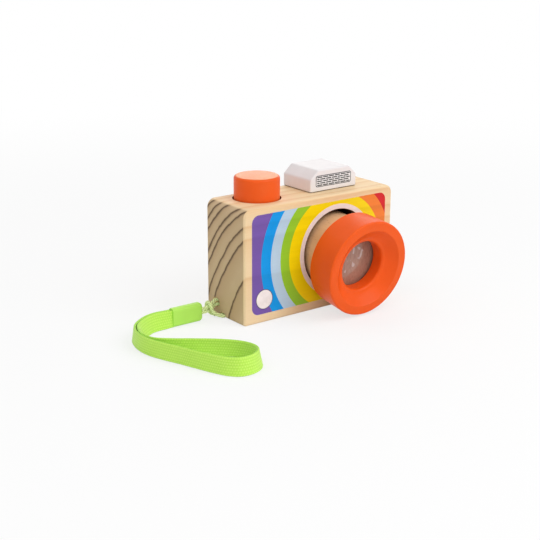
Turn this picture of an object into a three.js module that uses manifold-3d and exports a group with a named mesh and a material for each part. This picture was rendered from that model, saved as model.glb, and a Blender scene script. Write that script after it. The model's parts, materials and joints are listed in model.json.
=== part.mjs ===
// A wooden toy camera: a pine block with a sprung shutter button, a flash housing, a lens that
// turns and hangs a little loose in its bore, and a wrist strap hitched to one corner.
// Millimetres, +Z up. The origin is the middle of the block's underside, +X is to the viewer's
// right and the front faces -Y.

import * as THREE from 'three';
import { mergeVertices } from 'three/addons/utils/BufferGeometryUtils.js';
import Module from 'manifold-3d';

const wasm = await Module();
wasm.setup();

// Block
const BODY_WIDTH = 120;
const BODY_DEPTH = 40;
const BODY_HEIGHT = 74;
const BODY_TOP_RADIUS = 5.5;
const BODY_FOOT_RADIUS = 2;
const BODY_EDGE_EASE = 1;

// Clearances shared by all joints
const GLUE_GAP = 0.15;
const SEAT_GAP = 0.3;

// Lens bore, and how far the lens sits from the middle of the front
const LENS_RIGHT = 13.2;
const LENS_RAISED = 0.6;
const LENS_BORE_RADIUS = 26.4;
const LENS_BACK_WALL = 6;
const EYEPIECE_RADIUS = 10;

// Lens barrel: its play in the bore lets it droop until it touches the lower lip and the upper rear
const BARREL_PLAY = 2.2;
const BARREL_SHOWN = 10.6;
const BARREL_SIGHT_RADIUS = 15;
const BARREL_EDGE_EASE = 0.8;
const PEG_RADIUS = 2.5;
const PEG_FROM_FRONT = 22;
const PEG_RECESS = 0.4;
const PEG_GROOVE_DEPTH = 3;
const PEG_SIDE_PLAY = 0.5;

// Lens hood
const HOOD_WALL = 6.3;
const HOOD_FLARE = 0.7;
const HOOD_LENGTH = 20.9;
const HOOD_SOCKET_DEPTH = 3.4;
const HOOD_RIM_WIDTH = 6;
const HOOD_RIM_ROUND = 1.2;
const HOOD_BACK_ROUND = 0.8;
const HOOD_DISH_DEPTH = 5.5;
const HOOD_BORE_RADIUS = 16;
const HOOD_BORE_ROUND = 2;

// Faceted lens
const LENS_LAP = 2.6;
const LENS_THICKNESS = 3.2;
const LENS_EDGE = 1.6;
const LENS_TABLE_RADIUS = 5;
const LENS_FACET_RADIUS = 11;
const LENS_FACET_DROP = 0.7;
const LENS_FACETS = 8;

// Shutter button and what springs it
const BUTTON_RADIUS = 14.5;
const BUTTON_GAP = 0.9;
const BUTTON_FROM_LEFT = 26.5;
const BUTTON_BACK_WALL = 1.4;
const BUTTON_RISE = 14.7;
const BUTTON_BURIED = 15;
const BUTTON_ROUND = 1.6;
const BUTTON_TRAVEL = 5;
const BUTTON_SPARE = 4;
const WEB_THICKNESS = 12;
const SPRING_RADIUS = 5;
const SPRING_WIRE = 1;
const SPRING_TURNS = 6;
const SPRING_RECESS = 3;
const SPRING_SIDE_ROOM = 0.8;
const SCREW_RADIUS = 1.75;
const SCREW_GRIP = 9;
const SCREW_TIP = 3;
const SCREW_HEAD_RADIUS = 3.6;
const SCREW_HEAD_HEIGHT = 2.5;
const SCREW_HEAD_CROWN = 2.5;
const SCREW_HEAD_CHAMFER = 1.25;
const SCREW_SLOT_WIDTH = 0.9;
const SCREW_SLOT_DEPTH = 1;
const SCREW_HOLE_GAP = 0.9;
const WASHER_RADIUS = 4.6;
const WASHER_THICKNESS = 1;
const COUNTERBORE_RADIUS = 5.4;
const PLUG_LENGTH = 8;
const PLUG_RECESS = 0.3;

// Flash housing
const FLASH_RIGHT = 19.3;
const FLASH_WIDTH = 38;
const FLASH_DEPTH = 28.3;
const FLASH_HEIGHT = 14;
const FLASH_SIDE_HEIGHT = 8.3;
const FLASH_CHAMFER_RUN = 6.2;
const FLASH_EDGE_EASE = 0.7;
const FLASH_BACK_INSET = 0.2;
const DOWEL_RADIUS = 3;
const DOWEL_INSET = 7;
const DOWEL_IN_FLASH = 7;
const DOWEL_COVER = 2.5;
const DOWEL_CHAMFER = 0.6;

// Strap hole: a level drilling from the left face meets a pocket drilled up from the underside,
// and a channel leads the cord from the pocket back round the edge
const STRAP_HOLE_RADIUS = 3.1;
const STRAP_HOLE_Y = 10.8;
const STRAP_HOLE_Z = 8.25;
const STRAP_POCKET_RADIUS = 4.7;
const STRAP_POCKET_FROM_LEFT = 6.6;
const STRAP_POCKET_Y = 6;
const STRAP_POCKET_DEPTH = 12.2;
const STRAP_CHANNEL_Y = 3.45;
const STRAP_CHANNEL_WIDTH = 5.5;
const STRAP_CHANNEL_DEPTH = 2.9;

// Strap
const CORD_DIAMETER = 2;
const SLEEVE_FROM_LEFT = 14;
const SLEEVE_LENGTH = 21.8;
const SLEEVE_Y = 7.5;
const SLEEVE_THICKNESS = 5.2;
const SLEEVE_HEIGHT = 11.9;
const SLEEVE_ROUND = 1.8;
const SLEEVE_END_EASE = 0.8;
const WEBBING_WIDTH = 11;
const WEBBING_THICKNESS = 1.4;
const FLOOR_GAP = 0.2;

// The cord's route, from the sleeve to the block and back, measured from the left face: one leg
// goes in at the left face, round in the pocket and out of the channel; the bight goes round
// both legs; the other leg returns the same way
const CORD_ROUTE = [
  [-13.7, 7.5, 7.2], [-10, 7.8, 7.2], [-6.8, 8.8, 7.3], [-3, 10, 8.9],
  [0, 10.8, 9.8], [3.3, 8.5, 9.8], [6.4, 6.6, 9.3], [8.9, 5.6, 7.6],
  [9.9, 5.4, 5.4], [9, 5.5, 3], [6.6, 5.6, 1.55], [3.4, 5.2, 1.3],
  [0, 4.8, 1.3], [-2.6, 7.2, 1.4], [-5, 9.9, 2.4], [-6.6, 11.3, 5],
  [-7.1, 11.2, 8.2], [-7.3, 8.9, 10], [-7.1, 6.3, 8.4], [-6.4, 5.9, 5.6],
  [-4.6, 5, 3.2], [-2.2, 3.2, 1.7], [0, 2.1, 1.3], [4.4, 2.6, 1.4],
  [6.6, 3, 2.2], [7.6, 3.6, 3.9], [7.3, 4.4, 5.2], [5.6, 6.2, 6.4],
  [3.2, 8.4, 6.7], [0, 10.8, 6.7], [-3, 10, 5.9], [-6.8, 8.8, 4.9],
  [-10, 7.8, 4.8], [-13.7, 7.5, 4.8],
];
const CORD_STEPS = 72;

// The webbing's route on the table, from the left face: out of the sleeve, round the bend, along
// the open loop, and back inside itself to the sleeve
const WEBBING_ROUTE = [
  [-36.1, 8.9], [-40, 10], [-46, 10.9], [-52.5, 9.9], [-60, 5.9], [-66.5, 0.2],
  [-70.6, -7.5], [-72.6, -16.5], [-72.1, -26], [-69.2, -36], [-65, -47], [-61.2, -58],
  [-56.9, -69], [-52.5, -77.4], [-47.4, -81.9], [-40.5, -82.6], [-33.2, -79.7], [-28.8, -74.3],
  [-28.2, -68], [-31.6, -60], [-40.8, -50.2], [-52.6, -40.6], [-62.2, -32.6], [-67.8, -25.6],
  [-69.4, -18], [-67.6, -9.7], [-63.4, -2.8], [-57.8, 2.2], [-51.4, 5.8], [-46, 6.9],
  [-40.2, 6.7], [-36.1, 6.3],
];
const WEBBING_STEPS = 72;

// Facet counts
const LARGE_ROUND = 40;
const SMALL_ROUND = 16;
const CORD_ROUND = 8;
const WIRE_ROUND = 5;
const WIRE_STEPS_A_TURN = 8;
const ARC_STEPS = 3;
const EASE_STEPS = 2;

// Sizes that follow from the ones above
const OVERCUT = 1;
const DROOP_PASSES = 8;
const MERGE_DISTANCE = 1e-4;
const LEFT_FACE = -BODY_WIDTH / 2;
const FRONT_FACE = -BODY_DEPTH / 2;
const BACK_FACE = BODY_DEPTH / 2;
const LENS_Z = BODY_HEIGHT / 2 + LENS_RAISED;
const LENS_BORE_DEPTH = BODY_DEPTH - LENS_BACK_WALL;
const BARREL_RADIUS = LENS_BORE_RADIUS - BARREL_PLAY;
const DROOP = droopAngle();
const BARREL_TAIL = (LENS_BORE_DEPTH - SEAT_GAP - BARREL_RADIUS * Math.sin(DROOP)) / Math.cos(DROOP);
const LENS_AXIS_Z = LENS_Z - LENS_BORE_RADIUS + SEAT_GAP + BARREL_RADIUS / Math.cos(DROOP);
const PEG_Y = FRONT_FACE + PEG_FROM_FRONT;
const GROOVE_RADIUS = BARREL_RADIUS - PEG_GROOVE_DEPTH;
const GROOVE_BACK = grooveSetback();
const PEG_TIP_Z = LENS_AXIS_Z + GROOVE_BACK * Math.sin(DROOP) - GROOVE_RADIUS * Math.cos(DROOP) - SEAT_GAP;
const SOCKET_FLOOR = BARREL_SHOWN + HOOD_SOCKET_DEPTH;
const LENS_SHOULDER = SOCKET_FLOOR + LENS_THICKNESS + SEAT_GAP;
const HOOD_FRONT = BARREL_SHOWN + HOOD_LENGTH;
const LENS_RADIUS = HOOD_BORE_RADIUS + LENS_LAP;
const BUTTON_WELL_RADIUS = BUTTON_RADIUS + BUTTON_GAP;
const BUTTON_X = LEFT_FACE + BUTTON_FROM_LEFT;
const BUTTON_Y = BACK_FACE - BUTTON_BACK_WALL - BUTTON_WELL_RADIUS;
const WELL_DEPTH = BUTTON_BURIED + BUTTON_TRAVEL + BUTTON_SPARE;
const WEB_UNDERSIDE = -WELL_DEPTH - WEB_THICKNESS;
const WASHER_TOP = WEB_UNDERSIDE - SEAT_GAP;
const SCREW_HEAD_TOP = WASHER_TOP - WASHER_THICKNESS - SEAT_GAP;
const SPRING_RECESS_ROOF = -BUTTON_BURIED + SPRING_RECESS;
const FLASH_Y = BACK_FACE - FLASH_BACK_INSET - FLASH_DEPTH / 2;
const DOWEL_OFFSET = FLASH_WIDTH / 2 - DOWEL_INSET;
const DOWEL_Y = FLASH_Y;
const DOWEL_IN_BLOCK = BODY_HEIGHT - boreTopAtDowel() - DOWEL_COVER;

// The lens barrel leans until it touches the bore at the lower lip and at the upper rear.
function droopAngle() {
  const fall = 2 * (BARREL_PLAY - SEAT_GAP);
  let angle = 0;
  for (let pass = 0; pass < DROOP_PASSES; pass += 1) {
    const run = LENS_BORE_DEPTH - SEAT_GAP - BARREL_RADIUS * Math.sin(angle);
    angle = Math.atan(fall / run);
  }
  return angle;
}

// How far behind the front face, along the leaning axis, the upright peg meets the barrel.
function grooveSetback() {
  const middleOfGroove = BARREL_RADIUS - PEG_GROOVE_DEPTH / 2;
  return PEG_FROM_FRONT / Math.cos(DROOP) - middleOfGroove * Math.tan(DROOP);
}

// The height of the lens bore's roof under the dowel that stands nearest to its middle.
function boreTopAtDowel() {
  const sides = [-1, 1].map((side) => FLASH_RIGHT + side * DOWEL_OFFSET - LENS_RIGHT);
  const nearest = Math.min(...sides.map(Math.abs));
  return LENS_Z + Math.sqrt(Math.max(LENS_BORE_RADIUS ** 2 - nearest ** 2, 0));
}

// A closed geometry as a solid, with shared corners merged and collapsed triangles dropped
function solid(geometry) {
  const bare = geometry.clone();
  bare.deleteAttribute('normal');
  bare.deleteAttribute('uv');
  const merged = mergeVertices(bare, MERGE_DISTANCE);
  const corners = merged.index.array;
  const kept = [];
  for (let i = 0; i < corners.length; i += 3) {
    const [a, b, c] = corners.slice(i, i + 3);
    if (a !== b && b !== c && c !== a) kept.push(a, b, c);
  }
  return new wasm.Manifold(new wasm.Mesh({
    numProp: 3,
    vertProperties: merged.attributes.position.array,
    triVerts: new Uint32Array(kept),
  }));
}

function cutAll(blank, cutters) {
  return cutters.reduce((left, cutter) => left.subtract(solid(cutter)), solid(blank));
}

function geometryOf(body) {
  const { vertProperties, triVerts } = body.getMesh();
  const geometry = new THREE.BufferGeometry();
  geometry.setAttribute('position', new THREE.BufferAttribute(vertProperties, 3));
  geometry.setIndex(new THREE.BufferAttribute(triVerts, 1));
  geometry.computeVertexNormals();
  return geometry;
}

// Shapes turned about Y, and about Z, from [radius, height] points
function turnedAboutY(points, sides = LARGE_ROUND) {
  return new THREE.LatheGeometry(points.map(([radius, y]) => new THREE.Vector2(radius, y)), sides);
}

function turned(points, sides = LARGE_ROUND) {
  return turnedAboutY(points, sides).rotateX(Math.PI / 2);
}

function rod(radius, low, high, sides = SMALL_ROUND) {
  return turned([[0, low], [radius, low], [radius, high], [0, high]], sides);
}

function chamferedRod(radius, low, high, chamfer) {
  return turned([
    [0, low], [radius - chamfer, low], [radius, low + chamfer],
    [radius, high - chamfer], [radius - chamfer, high], [0, high],
  ], SMALL_ROUND);
}

// Points on a quarter round about [radius, height], from one angle to another in degrees
function roundOver(radius, height, size, from, to) {
  const points = [];
  for (let i = 0; i <= ARC_STEPS; i += 1) {
    const angle = THREE.MathUtils.degToRad(from + (to - from) * i / ARC_STEPS);
    points.push([radius + size * Math.cos(angle), height + size * Math.sin(angle)]);
  }
  return points;
}

function roundedRectangle(left, bottom, width, height, footRadius, topRadius) {
  const right = left + width;
  const top = bottom + height;
  const quarter = Math.PI / 2;
  const outline = new THREE.Shape();
  outline.absarc(right - footRadius, bottom + footRadius, footRadius, -quarter, 0);
  outline.absarc(right - topRadius, top - topRadius, topRadius, 0, quarter);
  outline.absarc(left + topRadius, top - topRadius, topRadius, quarter, 2 * quarter);
  outline.absarc(left + footRadius, bottom + footRadius, footRadius, 2 * quarter, 3 * quarter);
  return outline;
}

// An outline in X and Z, extruded along Y about y = 0, with its front and back edges eased
function extrudedAlongY(outline, depth, ease) {
  const geometry = new THREE.ExtrudeGeometry(outline, {
    depth: depth - 2 * ease,
    bevelThickness: ease,
    bevelSize: ease,
    bevelOffset: -ease,
    bevelSegments: EASE_STEPS,
    curveSegments: ARC_STEPS + 1,
  });
  return geometry.translate(0, 0, ease - depth / 2).rotateX(Math.PI / 2);
}

function material(colour, roughness, metalness = 0) {
  return new THREE.MeshStandardMaterial({ color: colour, roughness, metalness, flatShading: true });
}

function addPiece(parent, name, body, finish) {
  const mesh = new THREE.Mesh(geometryOf(body), finish);
  mesh.name = name;
  parent.add(mesh);
  return mesh;
}

const pine = material('#e8cfa4', 0.6);
const beech = material('#cfa77c', 0.55);
const orangeLacquer = material('#f3571b', 0.4);
const whiteLacquer = material('#eeeaec', 0.45);
const clearAcrylic = material('#d9c8c2', 0.05);
const steel = material('#a8abb0', 0.35, 1);
const limeWebbing = material('#baec54', 0.85);
const limeRubber = material('#b0e860', 0.6);

// Block
function lensBore() {
  const end = FRONT_FACE + LENS_BORE_DEPTH;
  const start = FRONT_FACE - OVERCUT;
  const bore = turnedAboutY([
    [0, start], [LENS_BORE_RADIUS, start], [LENS_BORE_RADIUS, end], [0, end],
  ]);
  return bore.translate(LENS_RIGHT, 0, LENS_Z);
}

function eyepieceHole() {
  const start = FRONT_FACE + LENS_BORE_DEPTH - OVERCUT;
  const end = BACK_FACE + OVERCUT;
  const hole = turnedAboutY([[0, start], [EYEPIECE_RADIUS, start], [EYEPIECE_RADIUS, end], [0, end]]);
  return hole.translate(LENS_RIGHT, 0, LENS_Z);
}

function buttonDrillings() {
  const well = rod(BUTTON_WELL_RADIUS, -WELL_DEPTH, OVERCUT, LARGE_ROUND);
  const screwHole = rod(SCREW_RADIUS + SCREW_HOLE_GAP, WEB_UNDERSIDE - OVERCUT, OVERCUT - WELL_DEPTH);
  const counterbore = rod(COUNTERBORE_RADIUS, -BODY_HEIGHT - OVERCUT, WEB_UNDERSIDE);
  return [well, screwHole, counterbore].map((hole) => hole.translate(BUTTON_X, BUTTON_Y, BODY_HEIGHT));
}

function dowelHoles(low, high) {
  return [-1, 1].map((side) => {
    const hole = rod(DOWEL_RADIUS + GLUE_GAP, low, high);
    return hole.translate(FLASH_RIGHT + side * DOWEL_OFFSET, DOWEL_Y, BODY_HEIGHT);
  });
}

function pegHole() {
  const hole = rod(PEG_RADIUS + GLUE_GAP, -OVERCUT, LENS_Z);
  return hole.translate(LENS_RIGHT, PEG_Y, 0);
}

function strapDrillings() {
  const toPocket = new THREE.Vector2(STRAP_POCKET_FROM_LEFT, STRAP_POCKET_Y - STRAP_HOLE_Y);
  const hole = rod(STRAP_HOLE_RADIUS, -STRAP_HOLE_RADIUS - OVERCUT, toPocket.length());
  hole.rotateY(Math.PI / 2).rotateZ(toPocket.angle());
  hole.translate(LEFT_FACE, STRAP_HOLE_Y, STRAP_HOLE_Z);

  const pocket = rod(STRAP_POCKET_RADIUS, -OVERCUT, STRAP_POCKET_DEPTH);
  pocket.translate(LEFT_FACE + STRAP_POCKET_FROM_LEFT, STRAP_POCKET_Y, 0);

  const channelLength = STRAP_POCKET_FROM_LEFT + OVERCUT;
  const channel = new THREE.BoxGeometry(channelLength, STRAP_CHANNEL_WIDTH, STRAP_CHANNEL_DEPTH + OVERCUT);
  const channelX = LEFT_FACE + (STRAP_POCKET_FROM_LEFT - OVERCUT) / 2;
  channel.translate(channelX, STRAP_CHANNEL_Y, (STRAP_CHANNEL_DEPTH - OVERCUT) / 2);
  return [hole, pocket, channel];
}

function bodyBlock() {
  const outline = roundedRectangle(
    LEFT_FACE, 0, BODY_WIDTH, BODY_HEIGHT, BODY_FOOT_RADIUS, BODY_TOP_RADIUS,
  );
  return cutAll(extrudedAlongY(outline, BODY_DEPTH, BODY_EDGE_EASE), [
    lensBore(),
    eyepieceHole(),
    ...buttonDrillings(),
    ...dowelHoles(-DOWEL_IN_BLOCK - SEAT_GAP, OVERCUT),
    pegHole(),
    ...strapDrillings(),
  ]);
}

// Shutter: heights are measured from the block's top
function shutterButton() {
  const blank = turned([
    [0, -BUTTON_BURIED],
    [BUTTON_RADIUS, -BUTTON_BURIED],
    ...roundOver(BUTTON_RADIUS - BUTTON_ROUND, BUTTON_RISE - BUTTON_ROUND, BUTTON_ROUND, 0, 90),
    [0, BUTTON_RISE],
  ]);
  const recessRadius = SPRING_RADIUS + SPRING_WIRE / 2 + SPRING_SIDE_ROOM;
  const recess = rod(recessRadius, -BUTTON_BURIED - OVERCUT, SPRING_RECESS_ROOF);
  const pilotTop = SPRING_RECESS_ROOF + SCREW_GRIP + SEAT_GAP;
  const pilot = rod(SCREW_RADIUS + GLUE_GAP, -BUTTON_BURIED - OVERCUT, pilotTop);
  return cutAll(blank, [recess, pilot]);
}

function shutterScrew() {
  const tip = SPRING_RECESS_ROOF + SCREW_GRIP;
  const headBottom = SCREW_HEAD_TOP - SCREW_HEAD_HEIGHT;
  const blank = turned([
    [0, headBottom],
    [SCREW_HEAD_CROWN, headBottom],
    [SCREW_HEAD_RADIUS, headBottom + SCREW_HEAD_CHAMFER],
    [SCREW_HEAD_RADIUS, SCREW_HEAD_TOP],
    [SCREW_RADIUS, SCREW_HEAD_TOP],
    [SCREW_RADIUS, tip - SCREW_TIP],
    [0, tip],
  ], SMALL_ROUND);
  const slotLength = 2 * (SCREW_HEAD_RADIUS + OVERCUT);
  const slot = new THREE.BoxGeometry(slotLength, SCREW_SLOT_WIDTH, 2 * SCREW_SLOT_DEPTH);
  slot.translate(0, 0, headBottom);
  return cutAll(blank, [slot]);
}

function shutterWasher() {
  const hole = SCREW_RADIUS + GLUE_GAP;
  const low = WASHER_TOP - WASHER_THICKNESS;
  return solid(turned([
    [hole, low], [WASHER_RADIUS, low], [WASHER_RADIUS, WASHER_TOP], [hole, WASHER_TOP], [hole, low],
  ], SMALL_ROUND));
}

class Helix extends THREE.Curve {
  constructor(radius, low, high, turns) {
    super();
    Object.assign(this, { radius, low, high, turns });
  }

  getPoint(t, target = new THREE.Vector3()) {
    const angle = 2 * Math.PI * this.turns * t;
    const height = THREE.MathUtils.lerp(this.low, this.high, t);
    return target.set(this.radius * Math.cos(angle), this.radius * Math.sin(angle), height);
  }
}

function roundSection(diameter, sides) {
  const corners = [];
  for (let i = 0; i < sides; i += 1) {
    const angle = 2 * Math.PI * i / sides;
    corners.push(new THREE.Vector2(Math.cos(angle), Math.sin(angle)).multiplyScalar(diameter / 2));
  }
  return new THREE.Shape(corners);
}

function shutterSpring() {
  const low = -WELL_DEPTH + SPRING_WIRE / 2 + SEAT_GAP;
  const high = SPRING_RECESS_ROOF - SPRING_WIRE / 2 - SEAT_GAP;
  return solid(new THREE.ExtrudeGeometry(roundSection(SPRING_WIRE, WIRE_ROUND), {
    extrudePath: new Helix(SPRING_RADIUS, low, high, SPRING_TURNS),
    steps: SPRING_TURNS * WIRE_STEPS_A_TURN,
  }));
}

function screwPlug() {
  const low = PLUG_RECESS - BODY_HEIGHT;
  return solid(chamferedRod(COUNTERBORE_RADIUS - GLUE_GAP, low, low + PLUG_LENGTH, DOWEL_CHAMFER));
}

// Flash housing: heights are measured from the block's top
function flashHousing() {
  const half = FLASH_WIDTH / 2;
  const outline = new THREE.Shape([
    new THREE.Vector2(-half, GLUE_GAP),
    new THREE.Vector2(half, GLUE_GAP),
    new THREE.Vector2(half, FLASH_SIDE_HEIGHT),
    new THREE.Vector2(half - FLASH_CHAMFER_RUN, FLASH_HEIGHT),
    new THREE.Vector2(FLASH_CHAMFER_RUN - half, FLASH_HEIGHT),
    new THREE.Vector2(-half, FLASH_SIDE_HEIGHT),
  ]);
  const holes = [-1, 1].map((side) => {
    const hole = rod(DOWEL_RADIUS + GLUE_GAP, -OVERCUT, DOWEL_IN_FLASH + SEAT_GAP);
    return hole.translate(side * DOWEL_OFFSET, 0, 0);
  });
  return cutAll(extrudedAlongY(outline, FLASH_DEPTH, FLASH_EDGE_EASE), holes);
}

function flashDowel() {
  return solid(chamferedRod(DOWEL_RADIUS, -DOWEL_IN_BLOCK, DOWEL_IN_FLASH, DOWEL_CHAMFER));
}

// Lens: turned about Y, with the front towards -Y and y = 0 where the axis meets the front face
function lensBarrel() {
  const front = SEAT_GAP - SOCKET_FLOOR;
  const grooveHalf = PEG_RADIUS + PEG_SIDE_PLAY;
  const back = BARREL_TAIL;
  return solid(turnedAboutY([
    [BARREL_SIGHT_RADIUS, front],
    [BARREL_RADIUS, front],
    [BARREL_RADIUS, GROOVE_BACK - grooveHalf],
    [GROOVE_RADIUS, GROOVE_BACK - grooveHalf],
    [GROOVE_RADIUS, GROOVE_BACK + grooveHalf],
    [BARREL_RADIUS, GROOVE_BACK + grooveHalf],
    [BARREL_RADIUS, back - BARREL_EDGE_EASE],
    [BARREL_RADIUS - BARREL_EDGE_EASE, back],
    [BARREL_SIGHT_RADIUS, back],
    [BARREL_SIGHT_RADIUS, front],
  ]));
}

function hoodDish(innerRadius, innerY, outerRadius, outerY) {
  const points = [];
  for (let i = 1; i < ARC_STEPS; i += 1) {
    const t = i / ARC_STEPS;
    const radius = THREE.MathUtils.lerp(innerRadius, outerRadius, t);
    points.push([radius, THREE.MathUtils.lerp(innerY, outerY, t * t)]);
  }
  return points;
}

function lensHood() {
  const backRadius = BARREL_RADIUS + HOOD_WALL;
  const frontRadius = backRadius + HOOD_FLARE;
  const socketRadius = BARREL_RADIUS + GLUE_GAP;
  const pocketRadius = LENS_RADIUS + GLUE_GAP;
  const dishRadius = frontRadius - HOOD_RIM_WIDTH;
  const dishFloor = HOOD_DISH_DEPTH - HOOD_FRONT;
  const boreEdge = HOOD_BORE_RADIUS + HOOD_BORE_ROUND;
  return solid(turnedAboutY([
    [dishRadius, -HOOD_FRONT],
    ...roundOver(frontRadius - HOOD_RIM_ROUND, HOOD_RIM_ROUND - HOOD_FRONT, HOOD_RIM_ROUND, -90, 0),
    ...roundOver(backRadius - HOOD_BACK_ROUND, -BARREL_SHOWN - HOOD_BACK_ROUND, HOOD_BACK_ROUND, 0, 90),
    [socketRadius, -BARREL_SHOWN],
    [socketRadius, -SOCKET_FLOOR],
    [pocketRadius, -SOCKET_FLOOR],
    [pocketRadius, -LENS_SHOULDER],
    [HOOD_BORE_RADIUS, -LENS_SHOULDER],
    ...roundOver(boreEdge, dishFloor + HOOD_BORE_ROUND, HOOD_BORE_ROUND, 180, 270),
    ...hoodDish(boreEdge, dishFloor, dishRadius, -HOOD_FRONT),
    [dishRadius, -HOOD_FRONT],
  ]));
}

function lensElement() {
  const back = -SOCKET_FLOOR - SEAT_GAP / 2;
  const front = SEAT_GAP / 2 - LENS_SHOULDER;
  const edge = back - LENS_EDGE;
  const facetCorner = LENS_RADIUS / Math.cos(Math.PI / LENS_FACETS);
  const cut = turnedAboutY([
    [0, front],
    [LENS_TABLE_RADIUS, front],
    [LENS_FACET_RADIUS, front + LENS_FACET_DROP],
    [facetCorner, edge],
    [facetCorner, back],
    [0, back],
  ], LENS_FACETS);
  const disc = turnedAboutY([[0, front], [LENS_RADIUS, front], [LENS_RADIUS, back], [0, back]]);
  return solid(cut).intersect(solid(disc));
}

function lensPeg() {
  return solid(chamferedRod(PEG_RADIUS, PEG_RECESS, PEG_TIP_Z, DOWEL_CHAMFER / 2));
}

// Strap: measured from the left face
function strapCord() {
  const route = new THREE.CatmullRomCurve3(CORD_ROUTE.map((point) => new THREE.Vector3(...point)));
  return solid(new THREE.ExtrudeGeometry(roundSection(CORD_DIAMETER, CORD_ROUND), {
    extrudePath: route,
    steps: CORD_STEPS,
  }));
}

function strapSleeve() {
  const section = roundedRectangle(
    -SLEEVE_THICKNESS / 2, FLOOR_GAP, SLEEVE_THICKNESS, SLEEVE_HEIGHT, SLEEVE_ROUND, SLEEVE_ROUND,
  );
  const sleeve = extrudedAlongY(section, SLEEVE_LENGTH, SLEEVE_END_EASE).rotateZ(Math.PI / 2);
  return solid(sleeve.translate(-SLEEVE_FROM_LEFT - SLEEVE_LENGTH / 2, SLEEVE_Y, 0));
}

function strapWebbing() {
  const height = WEBBING_WIDTH / 2 + FLOOR_GAP;
  const route = new THREE.CatmullRomCurve3(WEBBING_ROUTE.map(([x, y]) => new THREE.Vector3(x, y, height)));
  const [across, through] = [WEBBING_WIDTH / 2, WEBBING_THICKNESS / 2];
  const section = new THREE.Shape([
    new THREE.Vector2(-across, -through),
    new THREE.Vector2(across, -through),
    new THREE.Vector2(across, through),
    new THREE.Vector2(-across, through),
  ]);
  return solid(new THREE.ExtrudeGeometry(section, { extrudePath: route, steps: WEBBING_STEPS }));
}

// Assembly
const camera = new THREE.Group();
addPiece(camera, 'body_block', bodyBlock(), pine);

const shutter = new THREE.Group();
shutter.position.set(BUTTON_X, BUTTON_Y, BODY_HEIGHT);
addPiece(shutter, 'shutter_button', shutterButton(), orangeLacquer);
addPiece(shutter, 'shutter_spring', shutterSpring(), steel);
addPiece(shutter, 'shutter_washer', shutterWasher(), steel);
addPiece(shutter, 'shutter_screw', shutterScrew(), steel);
addPiece(shutter, 'screw_plug', screwPlug(), beech);
camera.add(shutter);

const flash = new THREE.Group();
flash.position.set(FLASH_RIGHT, FLASH_Y, BODY_HEIGHT);
addPiece(flash, 'flash_housing', flashHousing(), whiteLacquer);
addPiece(flash, 'flash_dowel_left', flashDowel(), beech).position.x = -DOWEL_OFFSET;
addPiece(flash, 'flash_dowel_right', flashDowel(), beech).position.x = DOWEL_OFFSET;
camera.add(flash);

const lens = new THREE.Group();
lens.position.set(LENS_RIGHT, FRONT_FACE, LENS_AXIS_Z);
lens.rotation.x = DROOP;
addPiece(lens, 'lens_barrel', lensBarrel(), beech);
addPiece(lens, 'lens_hood', lensHood(), orangeLacquer);
addPiece(lens, 'lens_element', lensElement(), clearAcrylic);
camera.add(lens);
addPiece(camera, 'lens_peg', lensPeg(), beech).position.set(LENS_RIGHT, PEG_Y, 0);

const strap = new THREE.Group();
strap.position.x = LEFT_FACE;
addPiece(strap, 'strap_cord', strapCord(), limeWebbing);
addPiece(strap, 'strap_sleeve', strapSleeve(), limeRubber);
addPiece(strap, 'strap_webbing', strapWebbing(), limeWebbing);
camera.add(strap);

export default camera;
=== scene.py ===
import json
from math import atan2, cos, inf, pi, radians, sin, sqrt, tau

import bmesh
import bpy
from mathutils import Matrix, Vector


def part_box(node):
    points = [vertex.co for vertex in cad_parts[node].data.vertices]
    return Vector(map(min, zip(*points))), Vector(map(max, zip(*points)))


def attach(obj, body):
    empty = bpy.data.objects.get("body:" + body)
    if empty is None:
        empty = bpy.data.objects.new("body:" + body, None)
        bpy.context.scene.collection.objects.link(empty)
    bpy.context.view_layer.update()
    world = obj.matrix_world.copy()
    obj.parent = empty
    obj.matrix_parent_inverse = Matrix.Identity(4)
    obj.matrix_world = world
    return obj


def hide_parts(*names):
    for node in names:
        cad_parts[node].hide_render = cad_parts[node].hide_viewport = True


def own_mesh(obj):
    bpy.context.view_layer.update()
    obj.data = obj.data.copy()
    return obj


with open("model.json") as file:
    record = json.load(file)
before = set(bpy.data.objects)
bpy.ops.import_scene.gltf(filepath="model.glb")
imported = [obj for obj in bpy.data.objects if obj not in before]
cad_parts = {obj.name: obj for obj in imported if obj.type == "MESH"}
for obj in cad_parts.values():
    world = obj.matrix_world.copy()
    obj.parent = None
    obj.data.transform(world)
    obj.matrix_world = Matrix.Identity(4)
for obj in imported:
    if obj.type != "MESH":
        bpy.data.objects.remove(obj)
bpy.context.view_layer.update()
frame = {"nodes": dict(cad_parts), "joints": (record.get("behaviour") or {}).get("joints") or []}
scene = bpy.context.scene

# A wooden toy camera dressed for rendering: pine block, turned and lacquered parts, printed rainbow
# and a woven wrist strap. Lengths are in millimetres until dress() turns a piece into metres.
MM = 0.001

# The photograph's camera
FRAME_PIXELS = 540
FOCAL_PIXELS = 1176.3
SENSOR_WIDTH = 36
CAMERA_EYE = (-459.02, -572.47, 251.82)
CAMERA_ANGLES = {"azimuth": -37.147, "elevation": 17.477, "roll": 0.225}
CLIP_RANGE = (0.01, 50)
WHITE = (1, 1, 1, 1)
FLOOR_PAPER = (0.9, 0.9, 0.9, 1)

# Directions
UP = (0, 0, 1)
DOWN = (0, 0, -1)
FORWARD = (0, -1, 0)
BACKWARD = (0, 1, 0)

# How fine the meshes are
ROUND_SIDES = 128
SMALL_SIDES = 48
ARC_STEPS = 8
OVERCUT = 1.0
MERGE_DISTANCE = 0.001
ROUTE_PARTS = 24
SHARP_ANGLE = 35
SOFT_SHARP_ANGLE = 60

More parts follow.
